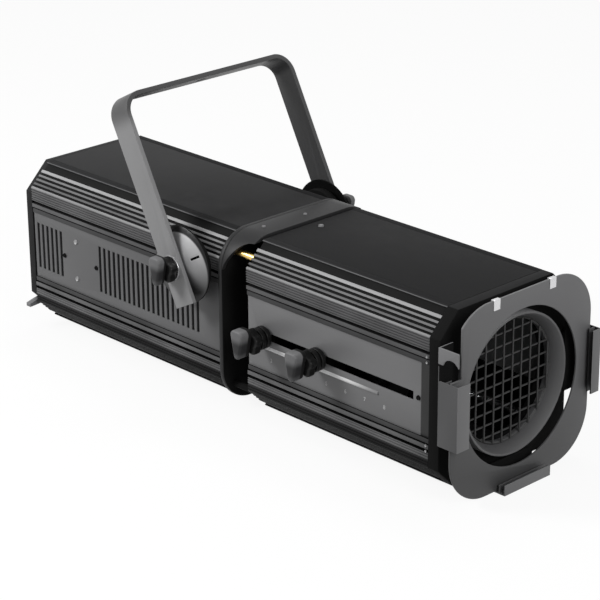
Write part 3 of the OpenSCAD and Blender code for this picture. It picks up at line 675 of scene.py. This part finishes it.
FOOT, LIP = 0.0025, 0.001  # depth of the painted shade on the foot, and of the paler lip
runner_black = textured_coat("runner_black", grey(0.052, 0.0535), grey(0.078, 0.08),
                             rough=0.5, grit=0.0009, depth=0.00006, specular=0.35)
lip_grey = textured_coat("lip_grey", grey(0.115, 0.117), grey(0.155, 0.158),
                         rough=0.48, grit=0.0009, depth=0.00006, specular=0.4)
for node, coat in (("runner_near", runner_black), ("runner_far", runner_black),
                   ("runner_bottom", runner_black), ("frame_catch", catch_grey)):
    channel = softened(node, coat, edge=0.0005)
    channel.data.materials.append(matt_black_and_painted_shade)
    channel.data.materials.append(lip_grey)
    foot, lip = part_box(node)[0].x + FOOT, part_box(node)[1].x - LIP
    for face in channel.data.polygons:
        # Painted shade on the feet and on the inside of the far runner.
        in_shade = face.center.x < foot or (node == "runner_far" and face.normal.y < -0.5)
        face.material_index = 1 if in_shade else 2 if face.center.x > lip else 0
softened("runner_spacers", matt_black_and_painted_shade, edge=0.0003)


# Colour frame: a round-cornered steel plate with a round opening, with soft clouds of dust and
# painted light that makes it paler towards its top and its far side.
# It drops into the runners from above, and two bright clips on its top edge hold the filter.

plate_black, g, skin = finish("plate_black", Specular_IOR_Level=0.35)
dust = grain(g, 14, detail=4)
speck = grain(g, 1100, detail=1.5)
# Painted light: the plate is paler towards its top and its far side.
high = (coordinate(g, "Z") - AXIS) + 0.5 * coordinate(g, "Y")
tone = ramp_up(g, high + (dust - 0.5) * 0.05, -0.16, 0.15)
g.feed(skin.inputs["Base Color"], blend(g, tone, grey(0.052, 0.053), grey(0.142, 0.145)))
g.feed(skin.inputs["Roughness"], 0.46 + dust * 0.12 + (speck - 0.5) * 0.14)
relief(g, skin, speck, 0.00006)
softened("colour_frame", plate_black, edge=0.0008, segments=3)
softened("frame_clips", bright_steel, edge=0.0003)


# Tilt hubs and discs: on each side a black drum with a stud is bolted to the lamp house.
# A domed disc of spun sheet is pressed over it. Painted light makes its face pale towards the top,
# inside a rim of painted shade that is broader above than below; its back and edge are painted shade
# black.

LIT_FACE_R = 0.0462, 0.0485  # edge of the painted light on the face
LIT_FACE_FORE, LIT_FACE_DROP = 0.002, 0.004  # its centre, from the pivot
for side in ("near", "far"):
    softened(f"tilt_hub_{side}", matt_black_and_painted_shade, edge=0.0008)
disc_grey, g, skin = finish("disc_grey", Metallic=0.5, Specular_IOR_Level=0.3)
spun = grain(g, 60, detail=3)
rise = coordinate(g, "Z") - PIVOT_Z
fore, drop = coordinate(g, "X") - PIVOT_X - LIT_FACE_FORE, rise + LIT_FACE_DROP
# Painted light pale towards the top, inside a painted shade rim broader above.
painted_shade_rim = ramp_up(g, fore * fore + drop * drop, LIT_FACE_R[0] ** 2, LIT_FACE_R[1] ** 2)
painted_light_face = ramp_up(g, rise, -0.042, 0.045) * (0.85 + spun * 0.3) * (1 - painted_shade_rim)
g.feed(skin.inputs["Base Color"], blend(g, painted_light_face, grey(0.012, 0.0125), grey(0.4, 0.405)))
g.feed(skin.inputs["Roughness"], 0.34 + spun * 0.14)
for side, out in (("near", -1), ("far", 1)):
    disc = softened(f"tilt_disc_{side}", disc_grey, edge=0.0004)
    # Painted shade on the disc's back and edge faces.
    paint_faces(disc, matt_black_and_painted_shade, lambda face: face.normal.y * out < 0.2)


# Yoke: a flat steel bar bent into a U, that turns on the two studs between disc and knob.
# It is painted satin black. Painted light makes the arms pale; painted shade darkens the bend and
# the inside.

BAR_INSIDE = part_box("yoke")[1].y - 0.006
ARM_RISE, ARM_LEAN = 0.887, 0.4617  # the arms' direction, as photographed
BEND = 0.178, 0.21  # where the arms go over into the bend, from the pivot


def painted_bar(name, outside):
    """The bar's satin paint, with painted light up the arms and painted shade over the bend and
    inside.
    """
    material, g, skin = finish(name, Specular_IOR_Level=0.4)
    speck, cloud, uneven = mottle(g, 1100, 11)
    x, y, z = (coordinate(g, axis) for axis in "XYZ")
    # Painted light up the arms, and painted shade over the bend.
    painted_light_on_arms = 1 - ramp_up(g, (z - PIVOT_Z) * ARM_RISE - (x - PIVOT_X) * ARM_LEAN, *BEND)
    if not outside:
        # Painted shade on the inner faces, except along the near arm's edges.
        painted_light_on_arms = painted_light_on_arms * ramp_up(g, 0 - y, BAR_INSIDE + 0.0003, BAR_INSIDE + 0.001)
    dark = blend(g, cloud * 0.7 + speck * 0.3, grey(0.04, 0.041), grey(0.062, 0.063))
    colour = blend(g, painted_light_on_arms * (0.8 + cloud * 0.3), dark, grey(0.228, 0.231))
    g.feed(skin.inputs["Base Color"], colour)
    g.feed(skin.inputs["Roughness"], 0.45 + uneven)
    relief(g, skin, speck, 0.00006)
    return material


bar = softened("yoke", painted_bar("yoke_outside", True), edge=0.0008, segments=3)
paint_faces(bar, painted_bar("yoke_inside_shaded", False),
            lambda face: face.normal.y * math.copysign(1, face.center.y) < 0.9)
softened("tilt_washers", bright_steel, edge=0.0004)


# Screws and rivets: small heads that hold the panels, the saddle, the rails' ends and the cover.
# The screws are steel with a sunk socket, dull or grey, and the rivets are black.

PANEL_Y = 0.1095
PANEL_SCREWS = (-0.342, 0.026), (-0.342, -0.027)  # along from the tube's rear end, and up
PANEL_RIVETS = (-0.3675, 0), (-0.3, 0), (0.2915, 0)
SADDLE_SCREWS = (-0.0265, -0.057), (-0.0235, 0.012)  # along and across
RAIL_SCREWS_X, RAIL_SCREWS_Z = 0.3065, (0.0566, 0.0496, -0.0554, -0.0625)
SADDLE_TOP = AXIS + 0.1155
COVER_SCREW = TUBE_REAR + 0.0165, 0.001, AXIS + HALF


def screw_head(name, place, out, radius, material):
    """A round head with a sunk socket, standing on place and facing along out."""
    bm = bmesh.new()
    turn = Vector(out).to_track_quat("Z", "Y").to_matrix().to_4x4()
    bmesh.ops.create_cone(bm, cap_ends=True, segments=24, radius1=radius, radius2=radius * 0.86,
                          depth=radius * 0.5, matrix=Matrix.Translation((0, 0, radius * 0.25)))
    top = max(bm.faces, key=lambda face: face.calc_center_median().z)
    bmesh.ops.inset_region(bm, faces=[top], thickness=radius * 0.4)
    bmesh.ops.translate(bm, vec=(0, 0, -radius * 0.3), verts=top.verts)
    bmesh.ops.transform(bm, matrix=Matrix.Translation(place) @ turn, verts=bm.verts)
    return piece(name, bm, "housing", material)


for side, out in (("near", -1), ("far", 1)):
    for kind, places, radius, material in (("screw", PANEL_SCREWS, 0.0034, dull_steel),
                                           ("rivet", PANEL_RIVETS, 0.0032, matt_black_and_painted_shade)):
        for k, (x, z) in enumerate(places):
            place = (TUBE_REAR + x, out * PANEL_Y, AXIS + z)
            screw_head(f"panel_{kind}_{side}_{k}", place, (0, out, 0), radius, material)
for k, (x, y) in enumerate(SADDLE_SCREWS):
    screw_head(f"saddle_screw_{k}", (TUBE_REAR + x, y, SADDLE_TOP), (0, 0, 1), 0.0026, catch_grey)
for k, z in enumerate(RAIL_SCREWS_Z):
    place = (TUBE_REAR + RAIL_SCREWS_X, -HALF, AXIS + z)
    screw_head(f"rail_screw_{k}", place, (0, -1, 0), 0.0016, dull_steel)
screw_head("cover_screw", COVER_SCREW, (0, 0, 1), 0.0036, catch_grey)


# Scale figures: plain numbers from 1 to 8 under the slot, for setting the lenses again.
# They are printed on the panel in pale ink.

FIGURE_HEIGHT, FIGURE_PITCH = 0.0075, 0.0325
FIGURES_X, FIGURES_Y, FIGURES_Z = TUBE_REAR + 0.0085, -0.10957, AXIS - 0.0305
INK = 0.00005  # half the ink's thickness
pale_ink = textured_coat("pale_ink", grey(0.4), grey(0.54),
                         rough=0.6, grit=0.0006, depth=0.00002, specular=0.3)
for k in range(8):
    figure = bpy.data.curves.new(f"figure_{k + 1}", "FONT")
    figure.body = str(k + 1)
    figure.size = FIGURE_HEIGHT
    figure.extrude = INK
    figure.align_x, figure.align_y = "CENTER", "CENTER"
    drawn = bpy.data.objects.new(f"figure_{k + 1}_drawn", figure)
    scene.collection.objects.link(drawn)
    bm = bmesh.new()
    bm.from_mesh(drawn.to_mesh())
    drawn.to_mesh_clear()
    bpy.data.objects.remove(drawn)
    move = Matrix.Translation((FIGURES_X + k * FIGURE_PITCH, FIGURES_Y, FIGURES_Z))
    bmesh.ops.transform(bm, verts=bm.verts, matrix=move @ Matrix.Rotation(math.pi / 2, 4, "X"))
    piece(f"figure_{k + 1}", bm, "housing", pale_ink)
